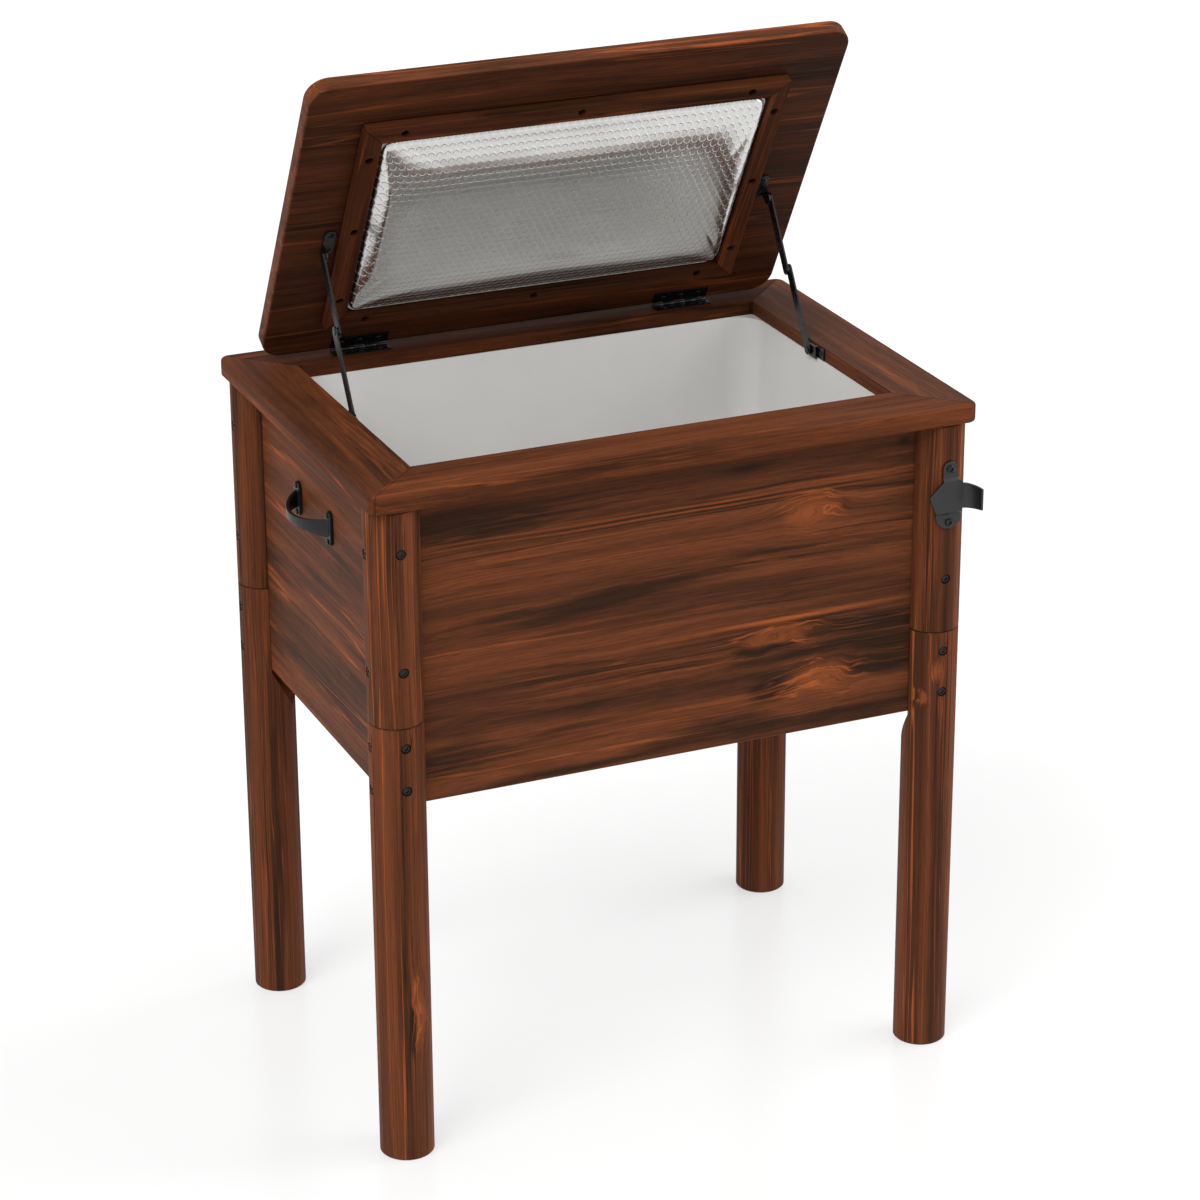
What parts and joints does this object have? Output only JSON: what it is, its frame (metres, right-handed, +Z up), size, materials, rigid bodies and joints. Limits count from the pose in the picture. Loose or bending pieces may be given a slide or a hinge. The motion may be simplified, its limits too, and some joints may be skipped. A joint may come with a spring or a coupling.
{
  "type": "patio cooler",
  "caption": "Free-standing insulated wooden cooler box on round legs, with a hinged lid on folding stays, a lift-in liner, pull handles and a wall-type opener on a post.",
  "frame": {"origin": "On the floor, midway between the four legs.", "axes": "+X to the right as seen from the front, +Y to the back where the hinges are, +Z up. Rest is with the lid open at 60 degrees."},
  "size_m": [0.704, 0.5128, 1.1476],
  "materials": {
    "stained_wood": "satin stain with a strong streaky grain",
    "liner_plastic": "satin",
    "foam": "matt closed-cell foam",
    "silver_foil": "bright embossed bubble foil",
    "black_metal": "black, low sheen",
    "dark_screws": "dark bronze, satin",
    "drain_plastic": "satin",
    "plug_rubber": "matt"
  },
  "bodies": {
    "cabinet": {"front_panel": "stained_wood", "back_panel": "stained_wood", "left_panel": "stained_wood", "right_panel": "stained_wood", "floor_panel": "stained_wood", "corner_post_front_left": "stained_wood", "corner_post_front_right": "stained_wood", "corner_post_back_left": "stained_wood", "corner_post_back_right": "stained_wood", "leg_front_left": "stained_wood", "leg_front_right": "stained_wood", "leg_back_left": "stained_wood", "leg_back_right": "stained_wood", "rim_front": "stained_wood", "rim_back": "stained_wood", "rim_left": "stained_wood", "rim_right": "stained_wood", "liner": "liner_plastic", "insulation_front": "foam", "insulation_back": "foam", "insulation_left": "foam", "insulation_right": "foam", "insulation_floor": "foam", "drain_spout": "drain_plastic", "drain_nut": "drain_plastic", "handle_left": "black_metal", "handle_right": "black_metal", "bottle_opener": "black_metal", "hinge_leaf_box_left": "black_metal", "hinge_leaf_box_right": "black_metal", "stay_bracket_box_left": "black_metal", "stay_bracket_box_right": "black_metal", "hinge_pins": "black_metal", "post_screws": "dark_screws", "leg_screws": "dark_screws", "handle_screws": "dark_screws", "opener_screws": "dark_screws", "hinge_screws_box": "dark_screws", "stay_screws_box": "dark_screws"},
    "lid": {"lid_board": "stained_wood", "lid_frame_front": "stained_wood", "lid_frame_back": "stained_wood", "lid_frame_left": "stained_wood", "lid_frame_right": "stained_wood", "lid_foam": "foam", "lid_foil_pad": "silver_foil", "hinge_leaf_lid_left": "black_metal", "hinge_leaf_lid_right": "black_metal", "stay_bracket_lid_left": "black_metal", "stay_bracket_lid_right": "black_metal", "lid_frame_screws": "dark_screws", "hinge_screws_lid": "dark_screws", "stay_screws_lid": "dark_screws"},
    "drain_plug": {"drain_plug": "plug_rubber"},
    "stay_lower_left": {"stay_lower_left": "black_metal"},
    "stay_upper_left": {"stay_upper_left": "black_metal"},
    "stay_lower_right": {"stay_lower_right": "black_metal"},
    "stay_upper_right": {"stay_upper_right": "black_metal"}
  },
  "joints": [
    {"name": "lid_hinge", "type": "hinge", "parent": "cabinet", "child": "lid", "pos_m": [0, 0.202, 0.7822], "axis": [1, 0, 0], "range_deg": [0, 60]},
    {"name": "drain_plug_pull", "type": "slide", "parent": "cabinet", "child": "drain_plug", "axis": [0, 0, -1], "range_m": [0, 0.04]},
    {"name": "stay_lower_left_pivot", "type": "hinge", "parent": "cabinet", "child": "stay_lower_left", "pos_m": [-0.273, 0.017, 0.771], "axis": [1, 0, 0], "range_deg": [-100.7, 0]},
    {"name": "stay_upper_left_pivot", "type": "hinge", "parent": "lid", "child": "stay_upper_left", "pos_m": [-0.269, 0.11107, 0.92369], "axis": [1, 0, 0], "range_deg": [0, 10.4]},
    {"name": "stay_lower_right_pivot", "type": "hinge", "parent": "cabinet", "child": "stay_lower_right", "pos_m": [0.273, 0.017, 0.771], "axis": [1, 0, 0], "range_deg": [-100.7, 0]},
    {"name": "stay_upper_right_pivot", "type": "hinge", "parent": "lid", "child": "stay_upper_right", "pos_m": [0.269, 0.11107, 0.92369], "axis": [1, 0, 0], "range_deg": [0, 10.4]}
  ],
  "couplings": [
    {"joint": "stay_lower_left_pivot", "follows": "lid_hinge", "ratio": -1.6744},
    {"joint": "stay_upper_left_pivot", "follows": "lid_hinge", "ratio": 0.17016},
    {"joint": "stay_lower_right_pivot", "follows": "lid_hinge", "ratio": -1.6744},
    {"joint": "stay_upper_right_pivot", "follows": "lid_hinge", "ratio": 0.17016}
  ]
}
